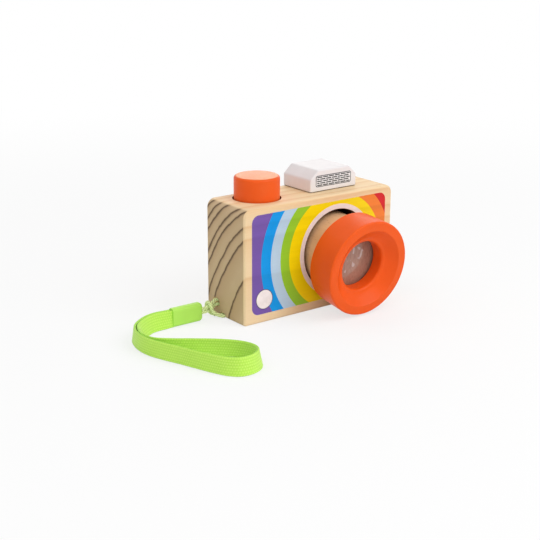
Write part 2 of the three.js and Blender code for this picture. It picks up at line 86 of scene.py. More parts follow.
# Block
TOP_RADIUS = 5.5
FOOT_RADIUS = 2.0
FRONT_EASE = 1.8
BACK_EASE = 1.0
LENS_X = 13.2
LENS_Z = 37.6
BORE_RADIUS = 26.4
BORE_DEPTH = 34.0
BORE_LIP = 0.35
EYEPIECE_RADIUS = 10.0
EYEPIECE_LIP = 0.8
WELL_RADIUS = 15.4
WELL_DEPTH = 24.0
WELL_LIP = 0.15
WEB_THICKNESS = 12.0
SCREW_HOLE_RADIUS = 2.65
COUNTERBORE_RADIUS = 5.4
PEG_HOLE_RADIUS = 2.65
PEG_Y = 2.0
DOWEL_HOLE_RADIUS = 3.15
DOWEL_HOLE_DEPTH = 8.5
STRAP_HOLE = (-60.0, 10.8, 8.25)
STRAP_HOLE_RADIUS = 3.1
STRAP_POCKET = (-53.4, 6.0)
STRAP_POCKET_RADIUS = 4.7
STRAP_POCKET_DEPTH = 12.2
CHANNEL_Y = (0.7, 6.2)
CHANNEL_DEPTH = 2.9
WALL_SLACK = 0.05

# Growth rings: circles about the pith, which lies outside the block and runs along X
PITH_Y = -90.9
PITH_Z = -30.8
RING_RADII = (92.7, 110.3, 117.1, 126.0, 130.5, 137.6, 142.5, 147.8)
RING_RANGE = (76.0, 156.0)
RING_WANDER = 0.7
RING_RAG = 0.2
RING_LINE = 0.88
RING_TAPER = 0.02
RING_STRETCH = (0.15, 1, 1)
BAND_START = 0.35
FIBRE_STRETCH = (0.03, 1, 1)

# The part of a noise's values, from 0 to 1, where nearly all of them lie
NOISE_RANGE = (0.3, 0.7)
CLOTH = {"sheen_roughness": 0.5, "specular_ior_level": 0.3}

# Rainbow print, in rings about the lens
PANEL_X = (-54.3, 54.0)
PANEL_Z = (6.0, 69.8)
PANEL_CORNER = 5.0
PRINT_PROUD = 0.05
PRINT_SUNK = 0.03
PRINT_INNER_RADIUS = 26.85
PRINT_COLUMNS = 240
BISECTIONS = 40
SAME_ANGLE = 1e-5
TINY = 1e-6
BANDS_LEFT = (
    (30.0, "white"), (38.7, "yellow"), (45.6, "green"),
    (53.1, "light_blue"), (60.6, "blue"), (inf, "purple"),
)
BANDS_RIGHT = ((30.0, "white"), (36.6, "yellow"), (44.4, "orange"), (inf, "red"))
INKS = {
    "yellow": (250, 220, 0), "green": (150, 202, 48), "light_blue": (184, 210, 230),
    "blue": (0, 152, 232), "purple": (118, 88, 168), "orange": (242, 132, 52), "red": (214, 36, 42),
}
BADGE_CENTRE = (-44.8, 15.4)
BADGE_RADIUS = 6.5
BADGE_OUTLINE = 0.45
BADGE_PROUD = 0.09

# Shutter button, with heights from the block's top
BUTTON_RISE = 14.7
BUTTON_BURIED = 15.0
BUTTON_ROUND = 1.9
BUTTON_CROWN = 0.25
CROWN_STEPS = 5
SPRING_RECESS_RADIUS = 6.3
SPRING_RECESS_DEPTH = 3.0
PILOT_RADIUS = 1.9
PILOT_DEPTH = 12.3
SPRING_RADIUS = 5.0
SPRING_WIRE = 1.0
SPRING_TURNS = 6
STEPS_A_TURN = 48
WIRE_SIDES = 12

# Flash housing
FLASH_SIDE_TOP = 82.3
FLASH_CHAMFER_RUN = 6.2
FLASH_ROUND = 0.9
FLASH_ROUND_STEPS = 5
# Height of the painted shade along the flash's foot
FLASH_SHADE_HEIGHT = 0.35
DOWEL_X = (7.3, 31.3)
DOWEL_Y = 5.65
DOWEL_IN_FLASH = 7.3
GRILLE_X = (4.5, 33.7)
GRILLE_Z = (77.2, 84.6)
GRILLE_CORNER = 1.3
GRILLE_PROUD = 0.04
GRILLE_BORDER = 0.5
GRILLE_ROWS = 5
GRILLE_DASH = 4.3
GRILLE_DASH_GAP = 0.55
GRILLE_DASH_HEIGHT = 0.72
DASH_CORNER = 0.24
DASH_CORNER_STEPS = 3

# Lens, with distances along its axis from the block's front
BARREL_RADIUS = 24.2
BARREL_SIGHT_RADIUS = 15.0
BARREL_FRONT = 13.7
BARREL_TAIL = -30.96
BARREL_EASE = 0.8
GROOVE_RADIUS = 21.2
GROOVE_BACK = -19.36
GROOVE_HALF = 3.0
HOOD_BACK = 10.6
HOOD_FRONT = 31.5
HOOD_BACK_RADIUS = 30.5
HOOD_FRONT_RADIUS = 31.2
HOOD_BACK_ROUND = 0.8
HOOD_RIM_ROUND = 1.2
HOOD_RIM_WIDTH = 6.0
HOOD_DISH_DEPTH = 5.5
HOOD_DISH_CURVE = 1.25
HOOD_BORE_RADIUS = 16.0
HOOD_BORE_ROUND = 2.0
HOOD_SOCKET_RADIUS = 24.35
HOOD_SOCKET_FLOOR = 14.0
HOOD_POCKET_RADIUS = 18.75
HOOD_SHOULDER = 17.5
LENS_BACK = 14.15
LENS_FRONT = 17.35
LENS_RADIUS = 18.6
LENS_EDGE = 1.6
LENS_RINGS = ((5.0, 8, 0.0), (10.2, 8, 0.5), (14.7, 16, 0.25))
FACET_FLATNESS = 0.5
FACET_SHARP_ANGLE = 1
# How far from the lens's middle the painted glints reach
PAINTED_GLINT_REACH = 9.5

# Strap, with x from the block's left face: the cord's route and the webbing's route on the table
CORD_DIAMETER = 2.3
CORD_STEP = 0.22
CORD_SIDES = 24
CORD_STRANDS = 4
CORD_LAY = 5.2
CORD_RELIEF = 0.13
CORD_TUCK = 1.5
CORD_ROUTE = (
    (-13.7, 7.5, 7.2), (-10, 7.8, 7.2), (-6.8, 8.8, 7.3), (-3, 10, 8.9),
    (0, 10.8, 9.8), (3.3, 8.5, 9.8), (6.4, 6.6, 9.3), (8.9, 5.6, 7.6),
    (9.9, 5.4, 5.4), (9, 5.5, 3), (6.6, 5.6, 1.55), (3.4, 5.2, 1.3),
    (0, 4.8, 1.3), (-2.6, 7.2, 1.4), (-5, 9.9, 2.4), (-6.6, 11.3, 5),
    (-7.1, 11.2, 8.2), (-7.3, 8.9, 10), (-7.1, 6.3, 8.4), (-6.4, 5.9, 5.6),
    (-4.6, 5, 3.2), (-2.2, 3.2, 1.7), (0, 2.1, 1.3), (4.4, 2.6, 1.4),
    (6.6, 3, 2.2), (7.6, 3.6, 3.9), (7.3, 4.4, 5.2), (5.6, 6.2, 6.4),
    (3.2, 8.4, 6.7), (0, 10.8, 6.7), (-3, 10, 5.9), (-6.8, 8.8, 4.9),
    (-10, 7.8, 4.8), (-13.7, 7.5, 4.8),
)
WEBBING_WIDTH = 11.0
WEBBING_THICKNESS = 1.4
WEBBING_HEIGHT = 5.7
WEBBING_STEP = 0.45
WEBBING_RIBS = 7
POINTS_A_RIB = 5
RIB_RELIEF = 0.16
STITCH_RELIEF = 0.08
STITCH_PITCH = 1.5
SELVEDGE = 0.7
SELVEDGE_CROWDING = 0.2
FLOAT_END_CROWN = 0.45
WEBBING_SHARP_ANGLE = 70
WEBBING_TUCK = 2.4
WEBBING_ROUTE = (
    (-36.1, 8.9), (-40, 10), (-46, 10.9), (-52.5, 9.9), (-60, 5.9), (-66.5, 0.2),
    (-70.6, -7.5), (-72.6, -16.5), (-72.1, -26), (-69.2, -36), (-65, -47), (-61.2, -58),
    (-56.9, -69), (-52.5, -77.4), (-47.4, -81.9), (-40.5, -82.6), (-33.2, -79.7), (-28.8, -74.3),
    (-28.2, -68), (-31.6, -60), (-40.8, -50.2), (-52.6, -40.6), (-62.2, -32.6), (-67.8, -25.6),
    (-69.4, -18), (-67.6, -9.7), (-63.4, -2.8), (-57.8, 2.2), (-51.4, 5.8), (-46, 6.9),
    (-40.2, 6.7), (-36.1, 6.3),
)
# How far the webbing's upper edge leans out of the loop at each point of its route, and its lower edge in
WEBBING_LEANS = (
    0, -0.7, -1.1, -1.3, -1.2, -0.9, -0.3, 0, 0, 0, 0, 0, -0.3, -0.7, -1, -1.2, -1.2, -1.1,
    -0.9, -0.5, 0, 0, -0.5, -1.5, -1.7, -1.6, -1.9, -1.6, -1.4, -1.4, -1, 0,
)
SLEEVE_ROUND = 1.8
SLEEVE_NOSE = 2.2
SLEEVE_LIP = 0.4

# Where the frame puts things
def box_of(node):
    """A node's lowest and highest corners, in millimetres."""
    return [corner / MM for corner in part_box(node)]


block_low, block_high = box_of("body_block")
button_low, button_high = box_of("shutter_button")
flash_low, flash_high = box_of("flash_housing")
sleeve_low, sleeve_high = box_of("strap_sleeve")
lens_joint = next(joint for joint in frame["joints"] if joint["name"] == "lens_turn")
LENS_POINT = Vector(lens_joint["pos_m"]) / MM
LENS_AXIS = Vector(lens_joint["axis"])
button_middle = (button_low + button_high) / 2
BUTTON_POINT = Vector((*button_middle.xy, block_high.z))
BUTTON_RADIUS = (button_high.x - button_low.x) / 2


# Nodes of the materials, the floor and the world
class Nodes:
    """A tree of shader nodes, and short calls that add to it."""

    def __init__(self, owner):
        owner.use_nodes = True
        self.tree = owner.node_tree

    def plug(self, socket, value):
        if isinstance(value, bpy.types.NodeSocket):
            self.tree.links.new(value, socket)
        else:
            socket.default_value = value

    def add(self, kind, inputs=(), **settings):
        node = self.tree.nodes.new("ShaderNode" + kind)
        for name, value in settings.items():
            setattr(node, name, value)
        for socket, value in dict(inputs).items():
            self.plug(node.inputs[socket], value)
        return node

    def maths(self, operation, first, second=0.0):
        return self.add("Math", {0: first, 1: second}, operation=operation).outputs[0]

    def times(self, first, second):
        return self.maths("MULTIPLY", first, second)

    def plus(self, first, second):
        return self.maths("ADD", first, second)

    def vector(self, operation, first, second=(0, 0, 0)):
        """A vector, or a number where the operation gives one."""
        node = self.add("VectorMath", {0: first, 1: second}, operation=operation)
        return node.outputs["Value" if operation in ("LENGTH", "DOT_PRODUCT") else "Vector"]

    def place(self, stretch=(1, 1, 1)):
        """Where a point lies on the piece, in metres, with its axes scaled."""
        return self.vector("MULTIPLY", self.add("TexCoord").outputs["Object"], stretch)

    def spread(self, value, low, high, to_low=0.0, to_high=1.0):
        """A value between two limits, eased to lie between two others."""
        inputs = {"Value": value, "From Min": low, "From Max": high, "To Min": to_low, "To Max": to_high}
        return self.add("MapRange", inputs, interpolation_type="SMOOTHSTEP").outputs["Result"]

    def either(self, share, first, second):
        """The first shader where the share is 0, and the second where it is 1."""
        inputs = {0: share, 1: first.outputs[0], 2: second.outputs[0]}
        return self.add("MixShader", inputs).outputs[0]

    def seen_directly(self):
        """1 for rays that show the surface: from the camera, a gloss or a glass."""
        rays = self.add("LightPath").outputs
        bounced = self.maths("MAXIMUM", rays["Is Glossy Ray"], rays["Is Transmission Ray"])
        return self.maths("MAXIMUM", rays["Is Camera Ray"], bounced)


# Camera, light and floor
def placed(name, data):
    """A new object in the scene."""
    made = bpy.data.objects.new(name, data)
    scene.collection.objects.link(made)
    return made


def add_camera():
    azimuth, elevation, roll = (radians(angle) for angle in CAMERA_ANGLES.values())
    level = Vector((cos(azimuth), sin(azimuth), 0))
    back = Vector((sin(azimuth) * cos(elevation), -cos(azimuth) * cos(elevation), sin(elevation)))
    upright = back.cross(level)
    right = cos(roll) * level + sin(roll) * upright
    data = bpy.data.cameras.new("camera")
    data.sensor_width = SENSOR_WIDTH
    data.lens = FOCAL_PIXELS / FRAME_PIXELS * SENSOR_WIDTH
    data.clip_start, data.clip_end = CLIP_RANGE
    camera = placed("camera", data)
    axes = Matrix((right, back.cross(right), back)).transposed()
    camera.matrix_world = Matrix.Translation(Vector(CAMERA_EYE) * MM) @ axes.to_4x4()
    scene.camera = camera


def add_area_light(name, place, target, size, watts):
    data = bpy.data.lights.new(name, "AREA")
    data.shape = "DISK"
    data.size = size
    data.energy = watts
    lamp = placed(name, data)
    lamp.location = place
    lamp.rotation_euler = (Vector(target) - Vector(place)).to_track_quat("-Z", "Y").to_euler()


def add_world(ambient):
    """White where it is seen directly, and a dimmer white as a light."""
    world = bpy.data.worlds.new("studio")
    nodes = Nodes(world)
    nodes.tree.nodes.clear()
    soft = nodes.add("Background", {"Color": WHITE, "Strength": ambient})
    white = nodes.add("Background", {"Color": WHITE})
    nodes.add("OutputWorld", {"Surface": nodes.either(nodes.seen_directly(), soft, white)})
    scene.world = world


def add_floor(size, glow_near, glow_far, near, far):
    """A white floor. Where it is seen it partly glows: shadows stay pale, and far off it is plain white."""
    half = size / 2
    corners = [(-half, -half, 0), (half, -half, 0), (half, half, 0), (-half, half, 0)]
    mesh = bpy.data.meshes.new("floor")
    mesh.from_pydata(corners, [], [(0, 1, 2, 3)])
    material = bpy.data.materials.new("floor")
    nodes = Nodes(material)
    nodes.tree.nodes.clear()
    paper = nodes.add("BsdfDiffuse", {"Color": FLOOR_PAPER})
    light = nodes.add("Emission")
    distance = nodes.vector("LENGTH", nodes.place())
    glow = nodes.times(nodes.seen_directly(), nodes.spread(distance, near, far, glow_near, glow_far))
    nodes.add("OutputMaterial", {"Surface": nodes.either(glow, paper, light)})
    mesh.materials.append(material)
    placed("floor", mesh)


# Materials
def srgb(red, green, blue):
    """A colour as a screen shows it, from 0 to 255, in the linear values that shaders use."""
    shares = (level / 255 for level in (red, green, blue))
    return (*(s / 12.92 if s <= 0.04045 else ((s + 0.055) / 1.055) ** 2.4 for s in shares), 1.0)


def darker(colour, share):
    return (*(level * share for level in colour[:3]), 1.0)


class Finish(Nodes):
    """A material with one Principled shader. Its colour starts plain, and others are laid over it."""

    def __init__(self, name, colour, **sockets):
        self.material = bpy.data.materials.new(name)
        super().__init__(self.material)
        self.shader = self.tree.nodes["Principled BSDF"]
        self.colour = colour
        for socket, value in sockets.items():
            self.set(socket.replace("_", " ").title().replace("Ior", "IOR"), value)

    def set(self, socket, value):
        self.plug(self.shader.inputs[socket], value)

    def facing(self, axis):
        """How squarely the surface faces along an axis of the piece, either way, from 0 to 1."""
        normal = self.add("TexCoord").outputs["Normal"]
        return self.maths("ABSOLUTE", self.vector("DOT_PRODUCT", normal, axis))

    def noise(self, scale, detail=2, roughness=0.5, stretch=(1, 1, 1)):
        inputs = {"Vector": self.place(stretch), "Scale": scale, "Detail": detail, "Roughness": roughness}
        return self.add("TexNoise", inputs).outputs["Fac"]

    def varied(self, noise, low, high):
        """A noise's usual range, spread between two values."""
        return self.spread(noise, *NOISE_RANGE, low, high)

    def attribute(self, name):
        return self.add("Attribute", attribute_name=name).outputs["Fac"]

    def ramp(self, value, stops):
        """A level for each value, from (value, level) stops between 0 and 1."""
        node = self.add("ValToRGB", {"Fac": value})
        elements = node.color_ramp.elements
        for element in list(elements)[1:]:
            elements.remove(element)
        elements[0].position, level = stops[0]
        elements[0].color = (level, level, level, 1)
        for position, level in stops[1:]:
            elements.new(position).color = (level, level, level, 1)
        return node.outputs["Color"]

    def within(self, centre, axis, radius, low, high):
        """1 in a cylinder along an axis (0 to 2), between two places on that axis, and 0 outside it."""
        place = self.place()
        offset = self.vector("SUBTRACT", place, [c * MM for c in centre])
        across = self.vector("MULTIPLY", offset, [0 if i == axis else 1 for i in range(3)])
        inside = self.maths("LESS_THAN", self.vector("LENGTH", across), radius * MM)
        along = self.add("SeparateXYZ", {0: place}).outputs[axis]
        for operation, limit in (("GREATER_THAN", low), ("LESS_THAN", high)):
            inside = self.times(inside, self.maths(operation, along, limit * MM))
        return inside

    def mix(self, share, first, second):
        return self.add("Mix", {0: share, 6: first, 7: second}, data_type="RGBA").outputs[2]

    def paint(self, share, colour):
        """Lays a colour over what is there, by a share from 0 to 1."""
        self.colour = self.mix(share, self.colour, colour)

    def done(self, roughness, height=None, strength=0.0, depth=0.0):
        """The finished material. Its relief has a height from 0 to 1 and a depth in millimetres."""
        self.set("Base Color", self.colour)
        self.set("Roughness", roughness)
        if height:
            relief = self.add("Bump", {"Strength": strength, "Distance": depth * MM, "Height": height})
            self.set("Normal", relief.outputs[0])
        return self.material


def growth_rings(finish):
    """Two sockets from 0 to 1: thin dark lines that end each year's growth, and soft bands before them."""
    offset = finish.vector("SUBTRACT", finish.place(), (0, PITH_Y * MM, PITH_Z * MM))
    along = finish.add("SeparateXYZ", {0: offset}).outputs["X"]
    radius = finish.vector("LENGTH", finish.vector("MULTIPLY", offset, (0, 1, 1)))
    radius = finish.plus(radius, finish.times(along, RING_TAPER))
    for scale, detail, reach in ((26, 2, RING_WANDER), (210, 3, RING_RAG)):
        uneven = finish.noise(scale, detail, stretch=RING_STRETCH)
        radius = finish.plus(radius, finish.varied(uneven, -reach * MM, reach * MM))
    low, high = RING_RANGE
    limits = {"Value": radius, "From Min": low * MM, "From Max": high * MM}
    share = finish.add("MapRange", limits).outputs["Result"]

    lines = []
    bands = []
    inner = low
    for ring in RING_RADII:
        band_start = inner + BAND_START * (ring - inner)
        lines += [(ring - 2 * RING_LINE, 0), (ring - RING_LINE / 3, 1), (ring + RING_LINE / 2, 0)]
        bands += [(band_start, 0), (ring - RING_LINE / 2, 1), (ring + RING_LINE, 0)]
        inner = ring
    return [
        finish.ramp(share, [((place - low) / (high - low), level) for place, level in stops])
        for stops in (lines, bands)
    ]


def fibres(finish):
    """The fine fibres of the block's wood, along X."""
    return finish.noise(1100, 5, 0.6, FIBRE_STRETCH)


def pine():
    finish = Finish("pine", srgb(241, 216, 177), specular_ior_level=0.2)
    line, band = growth_rings(finish)
    fibre = fibres(finish)
    pores = finish.noise(2600, 3, 0.6)
    patch = finish.noise(34, stretch=(0.3, 1, 1))
    finish.paint(patch, srgb(235, 206, 163))
    finish.paint(finish.times(band, 0.35), srgb(226, 180, 124))
    finish.paint(finish.times(line, 0.2), srgb(200, 138, 82))
    finish.paint(finish.spread(fibre, 0.3, 0.75, 0.0, 0.16), srgb(214, 172, 120))

    end_grain = finish.mix(patch, srgb(211, 185, 149), srgb(196, 168, 132))
    end_grain = finish.mix(finish.times(band, 0.45), end_grain, srgb(172, 132, 92))
    end_grain = finish.mix(line, end_grain, srgb(40, 22, 12))
    end_grain = finish.mix(finish.spread(pores, 0.35, 0.75, 0.0, 0.25), end_grain, srgb(160, 128, 94))
    sideways = finish.spread(finish.facing((1, 0, 0)), 0.3, 0.6)
    end = finish.times(sideways, finish.spread(finish.facing((0, 1, 0)), 0.15, 0.4, 1.0, 0.0))
    finish.paint(end, end_grain)

    # Painted shade: the lens bore with its rounded lip and the button's well are painted dark brown, as if
    # little light reached inside.
    painted_bore_shade = finish.within((LENS_X, 0, LENS_Z), 1, BORE_RADIUS + BORE_LIP,
                              block_low.y - WALL_SLACK, block_low.y + BORE_DEPTH + WALL_SLACK)
    painted_well_shade = finish.within(BUTTON_POINT, 2, WELL_RADIUS + WALL_SLACK,
                         block_high.z - WELL_DEPTH - WALL_SLACK, block_high.z - WELL_LIP)
    finish.paint(finish.maths("MAXIMUM", painted_bore_shade, painted_well_shade), srgb(58, 38, 26))
    relief = finish.plus(finish.times(fibre, 0.5), finish.times(line, 0.5))
    relief = finish.plus(relief, finish.times(pores, end))
    return finish.done(finish.spread(fibre, 0.2, 0.8, 0.5, 0.66), relief, 0.35, 0.12)


def ink(name, colour, veil=0.35):
    """Print on the front: the wood's bands and fibres show through it a little."""
    finish = Finish(name, colour, specular_ior_level=0.2)
    line, band = growth_rings(finish)
    fibre = fibres(finish)
    shade = darker(colour, 0.72)
    finish.paint(finish.times(band, veil), shade)
    finish.paint(finish.spread(fibre, 0.35, 0.8, 0.0, 0.18), shade)
    relief = finish.plus(fibre, finish.times(line, 0.3))
    return finish.done(finish.spread(fibre, 0.2, 0.8, 0.38, 0.5), relief, 0.2, 0.06)


def lacquer(name, colour, edge_wear_and_highlight, specular=0.22, top=None, foot=None):
    """Opaque lacquer on turned or sawn wood: faint brushing, soft orange peel, edges paler by wear and by a
    painted highlight.

    A flat top can be painted paler, a painted highlight. Below a height called foot it is painted dark, as
    shade in the seam it stands on.
    """
    finish = Finish(name, colour, specular_ior_level=specular)
    cloud = finish.noise(60, 3)
    peel = finish.noise(900)
    grain = finish.noise(700, 4, 0.6, (0.06, 1, 1))
    finish.paint(finish.varied(cloud, 0.0, 0.5), darker(colour, 0.9))
    # Partly wear, partly a painted highlight: pointed edges are painted paler.
    pointed = finish.add("NewGeometry").outputs["Pointiness"]
    edge = finish.spread(pointed, 0.51, 0.6)
    finish.paint(finish.times(edge, finish.spread(cloud, 0.35, 0.7, 0.1, 0.4)), edge_wear_and_highlight)
    # Painted highlight: surfaces facing up or down, such as a flat top, are painted paler.
    if top:
        flat = finish.spread(finish.facing(UP), 0.85, 0.99)
        finish.paint(finish.times(flat, finish.varied(cloud, 0.75, 1.0)), top)
    # Painted shade: below the foot height the lacquer is painted dark, as in the gap under the piece.
    if foot:
        height = finish.add("SeparateXYZ", {0: finish.place()}).outputs["Z"]
        finish.paint(finish.maths("LESS_THAN", height, foot * MM), srgb(56, 46, 40))
    relief = finish.plus(peel, finish.times(grain, 0.6))
    return finish.done(finish.varied(peel, 0.37, 0.47), relief, 0.18, 0.08)


def beech():
    """Turned hardwood: warm, with short dark flecks along the grain and fine marks of the lathe."""
    finish = Finish("beech", srgb(238, 192, 146), specular_ior_level=0.4)
    fleck = finish.noise(1500, 3, 0.55, (1, 0.08, 1))
    lathe = finish.noise(1600, stretch=(0.02, 1, 0.02))
    finish.paint(finish.noise(120, 3, stretch=(1, 0.12, 1)), srgb(214, 160, 114))
    finish.paint(finish.spread(fleck, 0.56, 0.72, 0.0, 0.5), srgb(150, 102, 66))
    relief = finish.plus(lathe, finish.times(fleck, 0.5))
    return finish.done(finish.varied(fleck, 0.45, 0.6), relief, 0.25, 0.06)


def steel():
    finish = Finish("steel", srgb(196, 198, 202), metallic=1.0)
    haze = finish.noise(500, 3)
    brushed = finish.noise(2500, stretch=(1, 1, 0.05))
    finish.paint(haze, srgb(172, 174, 180))
    return finish.done(finish.varied(haze, 0.28, 0.42), brushed, 0.15, 0.03)


def acrylic():
    """Clear cut plastic with a few painted glints at its middle. Light falls through it on to the wood
    behind.
    """
    finish = Finish("acrylic", srgb(216, 182, 162), transmission_weight=0.5, ior=1.49)
    scuffs = finish.noise(1400, 3, stretch=(1, 1, 0.2))
    finish.paint(finish.noise(160, 3), srgb(196, 157, 137))
    finish.paint(finish.spread(scuffs, 0.4, 0.7, 0.0, 0.4), srgb(150, 104, 86))
    # Painted highlights: pale glint spots near the middle of the lens.
    painted_glints = finish.spread(finish.noise(300, 1, stretch=(1, 1, 0.4)), 0.61, 0.65)
    middle = LENS_POINT + LENS_FRONT * LENS_AXIS
    near = finish.within(middle, 1, PAINTED_GLINT_REACH, middle.y - PAINTED_GLINT_REACH, middle.y + PAINTED_GLINT_REACH)
    finish.paint(finish.times(painted_glints, near), srgb(240, 226, 220))
    clear = finish.add("BsdfTransparent", {"Color": srgb(236, 222, 216)})
    shadow = finish.add("LightPath").outputs["Is Shadow Ray"]
    surface = finish.tree.nodes["Material Output"].inputs["Surface"]
    finish.plug(surface, finish.either(shadow, finish.shader, clear))
    return finish.done(0.03, scuffs, 0.05, 0.02)


def lime_webbing():
    """Flat woven polyester: lengthwise ribs of short floats, offset from rib to rib."""
    finish = Finish("lime_webbing", srgb(190, 238, 86), **CLOTH, sheen_weight=0.25)
    crown = finish.attribute("crown")
    hairs = finish.noise(2400, 3, 0.6)
    finish.paint(finish.noise(45), srgb(180, 232, 74))
    # Painted shade in the valleys between ribs and floats, and a painted highlight on their crowns.
    finish.paint(finish.spread(crown, 0.0, 0.55, 0.65, 0.0), srgb(126, 194, 42))
    finish.paint(finish.spread(crown, 0.62, 1.0, 0.0, 0.75), srgb(218, 250, 126))
    finish.paint(finish.spread(hairs, 0.4, 0.8, 0.0, 0.3), srgb(222, 255, 150))
    return finish.done(finish.varied(hairs, 0.72, 0.9), hairs, 0.35, 0.1)


def lime_cord():
    """Thin cord of laid strands, paler than the webbing, with painted shade in the gaps between the strands
    and painted highlights on them.
    """
    finish = Finish("lime_cord", srgb(52, 96, 18), **CLOTH, sheen_weight=0.3)
    hairs = finish.noise(3200, 3, 0.6)
    # Painted highlight on the strands' crowns, over a dark base that is painted shade in the gaps.
    finish.paint(finish.spread(finish.attribute("crown"), 0.05, 0.6), srgb(240, 255, 184))
    finish.paint(finish.spread(hairs, 0.4, 0.8, 0.0, 0.25), srgb(242, 255, 210))
    return finish.done(finish.varied(hairs, 0.7, 0.9), hairs, 0.4, 0.1)


def lime_sleeve():
    """Soft matt plastic with a faint moulded grain."""
    finish = Finish("lime_sleeve", srgb(182, 234, 98), specular_ior_level=0.35)
    grain = finish.noise(1500, 3)
    finish.paint(finish.noise(70), srgb(172, 226, 86))
    return finish.done(finish.varied(grain, 0.46, 0.6), grain, 0.2, 0.05)


def flat_ink(name, colour):
    """Ink on lacquer: nearly plain, with small changes of tone and gloss."""
    finish = Finish(name, colour, specular_ior_level=0.4)
    cloud = finish.noise(320, 3)
    finish.paint(finish.spread(cloud, 0.35, 0.75, 0.0, 0.6), darker(colour, 0.85))
    return finish.done(finish.varied(cloud, 0.45, 0.55))


# Shapes
def shaped(name, made):
    """An object from a closed bmesh, in millimetres, with its faces turned outwards."""
    bmesh.ops.recalc_face_normals(made, faces=made.faces)
    if made.calc_volume(signed=True) < 0:
        bmesh.ops.reverse_faces(made, faces=made.faces)
    mesh = bpy.data.meshes.new(name)
    made.to_mesh(mesh)
    made.free()
    return placed(name, mesh)


def dress(piece, finishes, replaced=None, sharp_angle=SHARP_ANGLE, body="camera_body"):
    """Turns a shaped object into a piece of the part: metres, materials, shading, and what it rides on."""
    mesh = piece.data
    mesh.transform(Matrix.Scale(MM, 4))
    for finish in finishes:
        mesh.materials.append(finish)
    mesh.shade_smooth()
    mesh.set_sharp_from_angle(angle=radians(sharp_angle))
    weighted = piece.modifiers.new("weighted_normals", "WEIGHTED_NORMAL")
    weighted.keep_sharp = True
    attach(piece, body)
    if replaced:
        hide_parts(replaced)
    return piece


def looking(point, direction):
    """The place of a shape that stands on a point with its own Z along a direction."""
    turn = Vector(direction).to_track_quat("Z", "Y").to_matrix().to_4x4()
    return Matrix.Translation(Vector(point)) @ turn


def arc(centre, height, size, start, end, steps=ARC_STEPS):
    """Points on a round about (centre, height), from one angle to another in degrees."""
    angles = (radians(start + (end - start) * i / steps) for i in range(steps + 1))
    return [(centre + size * cos(a), height + size * sin(a)) for a in angles]


def bridge(made, rings):
    """Adds faces between rings of as many points each. Where a ring is one point, they are triangles."""
    for low, high in zip(rings, rings[1:]):
        for i in range(len(low)):
            after = (i + 1) % len(low)
            made.faces.new(dict.fromkeys((low[i], low[after], high[after], high[i])))


def turned(name, profile, place, sides=ROUND_SIDES):
    """A solid turned from (radius, height) points that start and end on the axis, or form a ring."""
    made = bmesh.new()
    rings = []
    for radius, height in profile:
        if radius == 0:
            rings.append([made.verts.new((0, 0, height))] * sides)
            continue
        angles = (tau * i / sides for i in range(sides))
        rings.append([made.verts.new((radius * cos(a), radius * sin(a), height)) for a in angles])
    if profile[0][0] > 0:
        rings.append(rings[0])
    bridge(made, rings)
    made.transform(place)
    return shaped(name, made)


def rounded_rectangle(low, high, foot, top=None, steps=ARC_STEPS):
    """Points round a rectangle, from its lower right corner, with radii for its foot and its top."""
    top = top or foot
    return [
        *arc(high[0] - foot, low[1] + foot, foot, -90, 0, steps),
        *arc(high[0] - top, high[1] - top, top, 0, 90, steps),
        *arc(low[0] + top, high[1] - top, top, 90, 180, steps),
        *arc(low[0] + foot, low[1] + foot, foot, 180, 270, steps),
    ]


def loft(rings):
    """A closed bmesh through rings of as many points each, with a flat cap at both ends."""
    made = bmesh.new()
    loops = [[made.verts.new(point) for point in ring] for ring in rings]
    bridge(made, loops)
    made.faces.new(loops[0])
    made.faces.new(loops[-1])
    return made


def slab(name, outline, front, back):
    """A thin plate with an outline in X and Z, between two places along Y."""
    return shaped(name, loft([[(x, y, z) for x, z in outline] for y in (front, back)]))


def joined(name, pieces):
    """Several shaped objects as one."""
    made = bmesh.new()
    for piece in pieces:
        made.from_mesh(piece.data)
        bpy.data.objects.remove(piece)
    return shaped(name, made)


def cut(blank, cutters):
    """Takes shaped objects out of another one by one, and removes them."""
    for cutter in cutters:
        taken = blank.modifiers.new("cut", "BOOLEAN")
        taken.operation = "DIFFERENCE"
        taken.solver = "EXACT"
        taken.object = cutter
        bpy.context.view_layer.update()
        graph = bpy.context.evaluated_depsgraph_get()
        left = bpy.data.meshes.new_from_object(blank.evaluated_get(graph))
        blank.modifiers.clear()
        merged = bmesh.new()
        merged.from_mesh(left)
        bmesh.ops.remove_doubles(merged, verts=merged.verts, dist=MERGE_DISTANCE)
        bmesh.ops.dissolve_degenerate(merged, edges=merged.edges, dist=MERGE_DISTANCE)
        merged.to_mesh(left)
        merged.free()
        blank.data = left
        bpy.data.objects.remove(cutter)
    return blank


def drill(point, outwards, radius, depth, lip=0.0, sides=SMALL_SIDES):
    """A cutter for a round hole into a face, with the hole's edge rounded over."""
    mouth = arc(radius + lip, -lip, lip, 180, 90) if lip else [(radius, 0)]
    profile = [(0, -depth), (radius, -depth), *mouth, (radius + lip, OVERCUT), (0, OVERCUT)]
    return turned("drill", profile, looking(point, outwards), sides)


def centripetal(points, share):
    """A point between the middle two of four points, on the smooth curve through them."""
    knots = [0.0]
    for first, second in zip(points, points[1:]):
        knots.append(knots[-1] + sqrt((second - first).length))
    here = knots[1] + (knots[2] - knots[1]) * share

    def between(first, second, low, high):
        return first.lerp(second, (here - knots[low]) / (knots[high] - knots[low]))

    ab, bc, cd = (between(points[i], points[i + 1], i, i + 1) for i in range(3))
    return between(between(ab, bc, 0, 2), between(bc, cd, 1, 3), 1, 2)


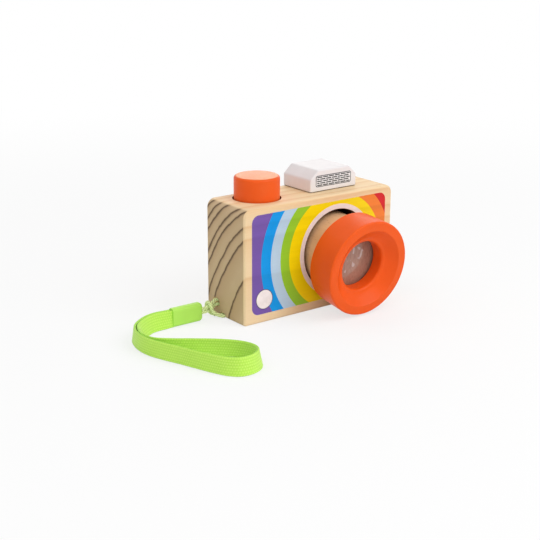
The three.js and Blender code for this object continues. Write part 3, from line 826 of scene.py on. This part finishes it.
def smooth_route(points, step):
    """Points at even steps along one smooth curve, and the distance of each from the start."""
    ends = [2 * points[0] - points[1], *points, 2 * points[-1] - points[-2]]
    fine = []
    for four in zip(ends, ends[1:], ends[2:], ends[3:]):
        fine += [centripetal(four, i / ROUTE_PARTS) for i in range(ROUTE_PARTS)]
    fine.append(points[-1])
    total = sum((b - a).length for a, b in zip(fine, fine[1:]))
    count = round(total / step)
    route = [fine[0]]
    walked = 0.0
    for a, b in zip(fine, fine[1:]):
        length = (b - a).length
        while len(route) < count and len(route) * total / count <= walked + length:
            route.append(a.lerp(b, (len(route) * total / count - walked) / length))
        walked += length
    route.append(fine[-1])
    return route, [total * i / count for i in range(len(route))]


def directions(route):
    """The direction of travel at each point of a route."""
    ahead = route[1:] + route[-1:]
    behind = route[:1] + route[:-1]
    return [(b - a).normalized() for a, b in zip(behind, ahead)]


def store(piece, name, values):
    piece.data.attributes.new(name, "FLOAT", "POINT").data.foreach_set("value", values)


# Pieces on the block
def body_block(finish):
    low, high = block_low, block_high
    rings = []
    for y, way, ease in ((low.y, 1, FRONT_EASE), (high.y, -1, BACK_EASE)):
        side = []
        for inset, depth in arc(0, 0, ease, 0, 90):
            outline = rounded_rectangle(
                (low.x + ease - depth, low.z + ease - depth),
                (high.x - ease + depth, high.z - ease + depth),
                FOOT_RADIUS - ease + depth,
                TOP_RADIUS - ease + depth,
            )
            place = y + way * (ease - inset)
            side.append([(x, place, z) for x, z in outline])
        rings += side if way > 0 else side[::-1]
    blank = shaped("block", loft(rings))

    hole = Vector(STRAP_HOLE)
    pocket = Vector((*STRAP_POCKET, hole.z))
    outwards = hole - pocket
    near, far = CHANNEL_Y
    section = ((near, -OVERCUT), (far, -OVERCUT), (far, CHANNEL_DEPTH), (near, CHANNEL_DEPTH))
    ends = [[(x, y, z) for y, z in section] for x in (low.x - OVERCUT, pocket.x)]
    channel = shaped("channel", loft(ends))
    well_floor = high.z - WELL_DEPTH
    back_wall = high.y - low.y - BORE_DEPTH
    x, y = BUTTON_POINT.xy
    cutters = [
        drill((LENS_X, low.y, LENS_Z), FORWARD, BORE_RADIUS, BORE_DEPTH, BORE_LIP, ROUND_SIDES),
        drill((LENS_X, high.y, LENS_Z), BACKWARD, EYEPIECE_RADIUS, back_wall + OVERCUT, EYEPIECE_LIP,
              ROUND_SIDES),
        drill(BUTTON_POINT, UP, WELL_RADIUS, WELL_DEPTH, WELL_LIP, ROUND_SIDES),
        drill((x, y, 0), DOWN, COUNTERBORE_RADIUS, well_floor - WEB_THICKNESS),
        drill((x, y, well_floor), UP, SCREW_HOLE_RADIUS, WEB_THICKNESS + OVERCUT),
        drill((LENS_X, PEG_Y, 0), DOWN, PEG_HOLE_RADIUS, LENS_Z - BORE_RADIUS + OVERCUT),
        *(drill((dowel, DOWEL_Y, high.z), UP, DOWEL_HOLE_RADIUS, DOWEL_HOLE_DEPTH) for dowel in DOWEL_X),
        drill(hole + outwards.normalized() * STRAP_HOLE_RADIUS, outwards, STRAP_HOLE_RADIUS,
              outwards.length + STRAP_HOLE_RADIUS),
        drill((*STRAP_POCKET, 0), DOWN, STRAP_POCKET_RADIUS, STRAP_POCKET_DEPTH),
        channel,
    ]
    dress(cut(blank, cutters), [finish], "body_block")


def panel_reach(angle):
    """How far the panel's outline lies from the lens bore's centre, at an angle from +X towards +Z."""
    centre = Vector((LENS_X, LENS_Z))
    way = Vector((cos(angle), sin(angle)))
    reach = inf
    for axis, (low, high) in enumerate((PANEL_X, PANEL_Z)):
        if abs(way[axis]) > TINY:
            edge = high if way[axis] > 0 else low
            reach = min(reach, (edge - centre[axis]) / way[axis])
    met = centre + reach * way
    corner = Vector([
        min(max(place, low + PANEL_CORNER), high - PANEL_CORNER)
        for place, (low, high) in zip(met, (PANEL_X, PANEL_Z))
    ])
    if corner.x == met.x or corner.y == met.y:
        return reach
    offset = centre - corner
    along = way.dot(offset)
    return -along + sqrt(along ** 2 - offset.length_squared + PANEL_CORNER ** 2)


def panel_angles():
    """Angles for the print's columns: even ones, the corners' ones, and where a band meets the edge."""
    angles = {tau * i / PRINT_COLUMNS for i in range(PRINT_COLUMNS)}
    outline = rounded_rectangle(*zip(PANEL_X, PANEL_Z), PANEL_CORNER)
    angles |= {atan2(z - LENS_Z, x - LENS_X) % tau for x, z in outline}
    known = sorted(angles)
    radii = {radius for radius, _ in BANDS_LEFT + BANDS_RIGHT if radius < inf}
    for radius in sorted(radii):
        for low, high in zip(known, known[1:] + [known[0] + tau]):
            inside = panel_reach(low) < radius
            if inside == (panel_reach(high) < radius):
                continue
            for _ in range(BISECTIONS):
                middle = (low + high) / 2
                if (panel_reach(middle) < radius) == inside:
                    low = middle
                else:
                    high = middle
            angles.add(low)
    ordered = sorted(angles)
    return ordered[:1] + [b for a, b in zip(ordered, ordered[1:]) if b - a > SAME_ANGLE]


def rainbow_print(inks):
    """The printed panel as one thin plate, in columns round the lens and bands across them."""
    made = bmesh.new()
    names = list(inks)
    angles = panel_angles()
    reaches = [panel_reach(angle) for angle in angles]
    front = block_low.y - PRINT_PROUD
    back = block_low.y + PRINT_SUNK
    corners = {}

    def corner(column, radius, y):
        key = (column, round(radius, 4), y)
        if key not in corners:
            angle = angles[column]
            place = (LENS_X + radius * cos(angle), y, LENS_Z + radius * sin(angle))
            corners[key] = made.verts.new(place)
        return corners[key]

    def face(index, *places):
        loop = dict.fromkeys(corner(*place) for place in places)
        if len(loop) > 2:
            made.faces.new(loop).material_index = index

    for column, angle in enumerate(angles):
        after = (column + 1) % len(angles)
        bands = BANDS_LEFT if cos(angle + TINY) < 0 else BANDS_RIGHT
        inner = PRINT_INNER_RADIUS
        for outer, name in bands:
            a, b = (min(inner, reaches[end]) for end in (column, after))
            c, d = (min(outer, reaches[end]) for end in (column, after))
            for y in (front, back):
                face(names.index(name), (column, a, y), (after, b, y), (after, d, y), (column, c, y))
            inner = outer
        for a, b in ((PRINT_INNER_RADIUS,) * 2, (reaches[column], reaches[after])):
            face(0, (column, a, front), (after, b, front), (after, b, back), (column, a, back))
    dress(shaped("rainbow_print", made), list(inks.values()))


def badge(paper, outline):
    """A bare round badge over the print."""
    x, z = BADGE_CENTRE
    place = looking((x, block_low.y, z), FORWARD)
    edge = BADGE_RADIUS - BADGE_OUTLINE
    rings = (("badge_disc", 0, edge, paper), ("badge_outline", edge, BADGE_RADIUS, outline))
    for name, inner, outer, finish in rings:
        profile = [(inner, 0), (outer, 0), (outer, BADGE_PROUD), (inner, BADGE_PROUD)]
        dress(turned(name, profile, place, 2 * SMALL_SIDES), [finish])


def shutter_button(finish):
    foot = -BUTTON_BURIED
    pilot = PILOT_DEPTH - BUTTON_BURIED
    roof = SPRING_RECESS_DEPTH - BUTTON_BURIED
    rim = BUTTON_RISE - BUTTON_CROWN - BUTTON_ROUND
    flat = BUTTON_RADIUS - BUTTON_ROUND
    profile = [
        (0, pilot), (PILOT_RADIUS, pilot), (PILOT_RADIUS, roof),
        (SPRING_RECESS_RADIUS, roof), (SPRING_RECESS_RADIUS, foot), (BUTTON_RADIUS, foot),
        *arc(flat, rim, BUTTON_ROUND, 0, 90),
    ]
    for i in range(1, CROWN_STEPS + 1):
        share = 1 - i / CROWN_STEPS
        profile.append((flat * share, BUTTON_RISE - BUTTON_CROWN * share ** 2))
    piece = turned("button", profile, Matrix.Translation(BUTTON_POINT))
    dress(piece, [finish], "shutter_button", body="shutter")


def shutter_spring(finish):
    """A steel coil under the button."""
    low, high = box_of("shutter_spring")
    count = SPRING_TURNS * STEPS_A_TURN
    rings = []
    for i in range(count + 1):
        turn = tau * i / STEPS_A_TURN
        height = low.z + SPRING_WIRE / 2 + (high.z - low.z - SPRING_WIRE) * i / count
        section = arc(SPRING_RADIUS, height, SPRING_WIRE / 2, 0, 360, WIRE_SIDES)[:-1]
        rings.append([
            (BUTTON_POINT.x + reach * cos(turn), BUTTON_POINT.y + reach * sin(turn), z)
            for reach, z in section
        ])
    piece = shaped("spring", loft(rings))
    dress(piece, [finish], "shutter_spring", SOFT_SHARP_ANGLE)
    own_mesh(piece)


def flash_housing(finish):
    low, high = flash_low, flash_high
    outline = [
        (low.x, low.z), (high.x, low.z), (high.x, FLASH_SIDE_TOP), (high.x - FLASH_CHAMFER_RUN, high.z),
        (low.x + FLASH_CHAMFER_RUN, high.z), (low.x, FLASH_SIDE_TOP),
    ]
    made = loft([[(x, y, z) for x, z in outline] for y in (low.y, high.y)])
    bmesh.ops.bevel(made, geom=made.edges[:], offset=FLASH_ROUND, segments=FLASH_ROUND_STEPS, profile=0.5,
                    affect="EDGES")
    holes = [drill((x, DOWEL_Y, low.z), DOWN, DOWEL_HOLE_RADIUS, DOWEL_IN_FLASH) for x in DOWEL_X]
    piece = cut(shaped("flash", made), holes)
    dress(piece, [finish], "flash_housing")


def grille(dark, pale):
    """The printed flash window: a dark line round rows of dashes, every other row moved by half a dash."""
    face = flash_low.y
    plate = rounded_rectangle(*zip(GRILLE_X, GRILLE_Z), GRILLE_CORNER)
    dress(slab("grille_plate", plate, face - GRILLE_PROUD, face + PRINT_SUNK), [dark])

    left, right = GRILLE_X[0] + GRILLE_BORDER, GRILLE_X[1] - GRILLE_BORDER
    bottom, top = GRILLE_Z[0] + GRILLE_BORDER, GRILLE_Z[1] - GRILLE_BORDER
    inner = GRILLE_CORNER - GRILLE_BORDER
    ground = rounded_rectangle((left, bottom), (right, top), inner)
    dress(slab("grille_ground", ground, face - 2 * GRILLE_PROUD, face), [pale])

    pitch = (top - bottom) / GRILLE_ROWS
    dashes = []
    for row in range(GRILLE_ROWS):
        low = bottom + (row + 0.5) * pitch - GRILLE_DASH_HEIGHT / 2
        start = left + GRILLE_DASH_GAP - (row % 2) * (GRILLE_DASH + GRILLE_DASH_GAP) / 2
        while start < right:
            near = max(start, left + GRILLE_BORDER)
            far = min(start + GRILLE_DASH, right - GRILLE_BORDER)
            if far - near > GRILLE_DASH_HEIGHT:
                high = low + GRILLE_DASH_HEIGHT
                outline = rounded_rectangle((near, low), (far, high), DASH_CORNER, steps=DASH_CORNER_STEPS)
                dashes.append(slab("dash", outline, face - 3 * GRILLE_PROUD, face - GRILLE_PROUD))
            start += GRILLE_DASH + GRILLE_DASH_GAP
    dress(joined("grille_dashes", dashes), [dark])


# Pieces on the lens
def lens_barrel(finish):
    profile = [
        (BARREL_SIGHT_RADIUS, BARREL_FRONT), (BARREL_RADIUS, BARREL_FRONT),
        (BARREL_RADIUS, GROOVE_BACK + GROOVE_HALF), (GROOVE_RADIUS, GROOVE_BACK + GROOVE_HALF),
        (GROOVE_RADIUS, GROOVE_BACK - GROOVE_HALF), (BARREL_RADIUS, GROOVE_BACK - GROOVE_HALF),
        *arc(BARREL_RADIUS - BARREL_EASE, BARREL_TAIL + BARREL_EASE, BARREL_EASE, 0, -90),
        *arc(BARREL_SIGHT_RADIUS + BARREL_EASE, BARREL_TAIL + BARREL_EASE, BARREL_EASE, 270, 180),
    ]
    piece = turned("barrel", profile, looking(LENS_POINT, LENS_AXIS))
    dress(piece, [finish], "lens_barrel", body="lens")


def lens_hood(finish):
    dish_radius = HOOD_FRONT_RADIUS - HOOD_RIM_WIDTH
    dish_floor = HOOD_FRONT - HOOD_DISH_DEPTH
    bore_edge = HOOD_BORE_RADIUS + HOOD_BORE_ROUND
    steps = 2 * ARC_STEPS
    profile = [
        (HOOD_BORE_RADIUS, HOOD_SHOULDER), (HOOD_POCKET_RADIUS, HOOD_SHOULDER),
        (HOOD_POCKET_RADIUS, HOOD_SOCKET_FLOOR), (HOOD_SOCKET_RADIUS, HOOD_SOCKET_FLOOR),
        (HOOD_SOCKET_RADIUS, HOOD_BACK),
        *arc(HOOD_BACK_RADIUS - HOOD_BACK_ROUND, HOOD_BACK + HOOD_BACK_ROUND, HOOD_BACK_ROUND, -90, 0),
        *arc(HOOD_FRONT_RADIUS - HOOD_RIM_ROUND, HOOD_FRONT - HOOD_RIM_ROUND, HOOD_RIM_ROUND, 0, 90, steps),
    ]
    for i in range(steps):
        share = 1 - i / steps
        radius = bore_edge + (dish_radius - bore_edge) * share
        profile.append((radius, dish_floor + HOOD_DISH_DEPTH * share ** HOOD_DISH_CURVE))
    profile += arc(bore_edge, dish_floor - HOOD_BORE_ROUND, HOOD_BORE_ROUND, 90, 180)
    piece = turned("hood", profile, looking(LENS_POINT, LENS_AXIS), 2 * ROUND_SIDES)
    dress(piece, [finish], "lens_hood", body="lens")


def lens_element(finish):
    """A disc cut in flat facets, in rings of corners on a low dome."""
    made = bmesh.new()
    fall = LENS_FRONT - LENS_BACK - LENS_EDGE
    rings = [(*ring, LENS_FRONT - fall * (ring[0] / LENS_RADIUS) ** 2) for ring in LENS_RINGS]
    rings += [(LENS_RADIUS, SMALL_SIDES, 0, height) for height in (LENS_BACK + LENS_EDGE, LENS_BACK)]
    for radius, count, shift, height in rings:
        for i in range(count):
            angle = tau * (i + shift) / count
            made.verts.new((radius * cos(angle), radius * sin(angle), height))
    bmesh.ops.convex_hull(made, input=made.verts)
    flatness = radians(FACET_FLATNESS)
    bmesh.ops.dissolve_limit(made, angle_limit=flatness, verts=made.verts, edges=made.edges)
    made.transform(looking(LENS_POINT, LENS_AXIS))
    piece = shaped("lens", made)
    dress(piece, [finish], "lens_element", FACET_SHARP_ANGLE, body="lens")


# Strap
def strap_points(route):
    return [Vector((x + block_low.x, y, z)) for x, y, z in route]


def strap_cord(finish):
    """A round cord of four strands, swept along its route without twisting against it."""
    points = strap_points(CORD_ROUTE)
    points[0].x -= CORD_TUCK
    points[-1].x -= CORD_TUCK
    route, walked = smooth_route(points, CORD_STEP)
    travel = directions(route)
    side = travel[0].orthogonal().normalized()
    rings = []
    crowns = []
    for centre, way, distance in zip(route, travel, walked):
        side = (side - side.dot(way) * way).normalized()
        other = way.cross(side)
        ring = []
        for i in range(CORD_SIDES):
            angle = tau * i / CORD_SIDES
            turn = CORD_STRANDS / 2 * (angle + pi * distance / CORD_LAY)
            crown = abs(cos(turn))
            radius = CORD_DIAMETER / 2 * (1 - CORD_RELIEF * (1 - crown) * 2)
            ring.append(centre + radius * (cos(angle) * side + sin(angle) * other))
            crowns.append(crown)
        rings.append(ring)
    piece = shaped("cord", loft(rings))
    store(piece, "crown", crowns)
    dress(piece, [finish], "strap_cord", SOFT_SHARP_ANGLE)


def webbing_section():
    """Places across the webbing, from one selvedge to the other and back: (across, side of the web)."""
    count = WEBBING_RIBS * POINTS_A_RIB
    across = []
    for i in range(count + 1):
        even = 2 * i / count - 1
        crowded = -cos(pi * i / count)
        share = SELVEDGE_CROWDING * crowded + (1 - SELVEDGE_CROWDING) * even
        across.append(WEBBING_WIDTH / 2 * share)
    return [(a, 1) for a in across] + [(a, -1) for a in reversed(across[1:-1])]


def webbing_height(across, distance):
    """Half the webbing's thickness at a point, and its crown there from 0 to 1: ribs of short floats."""
    rib = (across / WEBBING_WIDTH + 0.5) * WEBBING_RIBS
    ridge = sqrt(abs(sin(pi * rib)))
    float_share = 0.5 + 0.5 * cos(tau * (distance / STITCH_PITCH + (int(rib) % 2) / 2))
    inset = max(0.0, abs(across) - (WEBBING_WIDTH / 2 - SELVEDGE)) / SELVEDGE
    edge = sqrt(max(0.0, 1 - inset ** 2))
    low = RIB_RELIEF * (1 - ridge) + STITCH_RELIEF * ridge * (1 - float_share)
    crown = ridge * (FLOAT_END_CROWN + (1 - FLOAT_END_CROWN) * float_share)
    return (WEBBING_THICKNESS / 2 - low) * edge, crown


def leans_along(route, points):
    """The webbing's lean at each point of its fine route, from the leans at the points it goes through."""
    stations = [min(range(len(route)), key=lambda i: (route[i] - point).length_squared) for point in points]
    leans = []
    for start, end, first, second in zip(stations, stations[1:], WEBBING_LEANS, WEBBING_LEANS[1:]):
        leans += [first + (second - first) * i / (end - start) for i in range(end - start)]
    return leans + [WEBBING_LEANS[-1]]


def strap_webbing(finish):
    points = strap_points([(x, y, WEBBING_HEIGHT) for x, y in WEBBING_ROUTE])
    points[0].x += WEBBING_TUCK
    points[-1].x += WEBBING_TUCK
    route, walked = smooth_route(points, WEBBING_STEP)
    up = Vector(UP)
    section = webbing_section()
    rings = []
    crowns = []
    for centre, way, distance, lean in zip(route, directions(route), walked, leans_along(route, points)):
        outwards = way.cross(up).normalized()
        slope = 2 * lean / WEBBING_WIDTH
        ring = []
        for across, side in section:
            height, crown = webbing_height(across, distance)
            ring.append(centre + across * up + (side * height + slope * across) * outwards)
            crowns.append(crown)
        rings.append(ring)
    piece = shaped("webbing", loft(rings))
    store(piece, "crown", crowns)
    dress(piece, [finish], "strap_webbing", WEBBING_SHARP_ANGLE)


def strap_sleeve(finish):
    """A flat moulded sleeve round the webbing's ends, with a rounded nose where the cord leaves it."""
    low, high = sleeve_low, sleeve_high

    def ring(x, inset_y, inset_z, radius):
        near = (low.y + inset_y, low.z + inset_z)
        far = (high.y - inset_y, high.z - inset_z)
        return [(x, y, z) for y, z in rounded_rectangle(near, far, radius)]

    rings = []
    for along, inwards in arc(0, 0, SLEEVE_LIP, 90, 0):
        inset = SLEEVE_LIP - along
        rings.append(ring(low.x + SLEEVE_LIP - inwards, inset, inset, SLEEVE_ROUND - inset))
    for along, inwards in arc(0, 0, SLEEVE_NOSE, 0, 90):
        inset = SLEEVE_NOSE - along
        rings.append(ring(high.x - SLEEVE_NOSE + inwards, inset / 2, inset, SLEEVE_ROUND - inset / 2))
    piece = shaped("sleeve", loft(rings))
    return dress(piece, [finish], "strap_sleeve")


# Pieces that keep their own solids, inside the block or flush with its underside
def wear(material, *nodes):
    for node in nodes:
        mesh = frame["nodes"][node].data
        mesh.materials.clear()
        mesh.materials.append(material)


add_camera()
add_world(ambient=0.55)
add_floor(size=12, glow_near=0.7, glow_far=1.0, near=0.2, far=0.8)
add_area_light("key", place=(0.45, -0.9, 0.95), target=(0, 0, 0.03), size=1.2, watts=8.8)
add_area_light("fill", place=(-0.7, -0.7, 0.7), target=(0, 0, 0.03), size=0.9, watts=2.2)
add_area_light("top", place=(-0.4, 0.35, 0.9), target=(0, 0, 0.06), size=0.6, watts=1.0)
add_area_light("back", place=(0.75, 0.95, 0.5), target=(0, 0, 0.06), size=0.8, watts=2.6)

sleeve_piece = strap_sleeve(lime_sleeve())
strap_cord(lime_cord())
strap_webbing(lime_webbing())

wood = beech()
metal = steel()
body_block(pine())
inks = {"white": ink("ink_white", srgb(240, 226, 222), veil=0.2)}
inks.update((name, ink("ink_" + name, srgb(*colour))) for name, colour in INKS.items())
rainbow_print(inks)
badge(flat_ink("badge_paper", srgb(246, 236, 234)), flat_ink("badge_ink", srgb(70, 60, 90)))
# Each lacquer pair: its colour, and its paler edge colour, partly wear and partly a painted highlight.
orange = (srgb(238, 88, 10), srgb(252, 128, 70))
# The button's top colour is a painted highlight, paler than its orange.
shutter_button(lacquer("orange_button", *orange, top=srgb(232, 150, 92)))
shutter_spring(metal)
# The flash's lowest strip is painted shade where it stands on the block; its edges are partly worn, partly
# a painted highlight.
white = (srgb(234, 229, 229), srgb(250, 250, 250))
flash_housing(lacquer("white_lacquer", *white, specular=0.05, foot=flash_low.z + FLASH_SHADE_HEIGHT))
grille(flat_ink("grille_dark", srgb(60, 60, 64)), flat_ink("grille_pale", srgb(238, 236, 236)))
lens_barrel(wood)
lens_hood(lacquer("orange_lacquer", *orange))
lens_element(acrylic())
wear(wood, "screw_plug", "flash_dowel_left", "flash_dowel_right", "lens_peg")
wear(metal, "shutter_washer", "shutter_screw")

scene.view_settings.view_transform = "Standard"
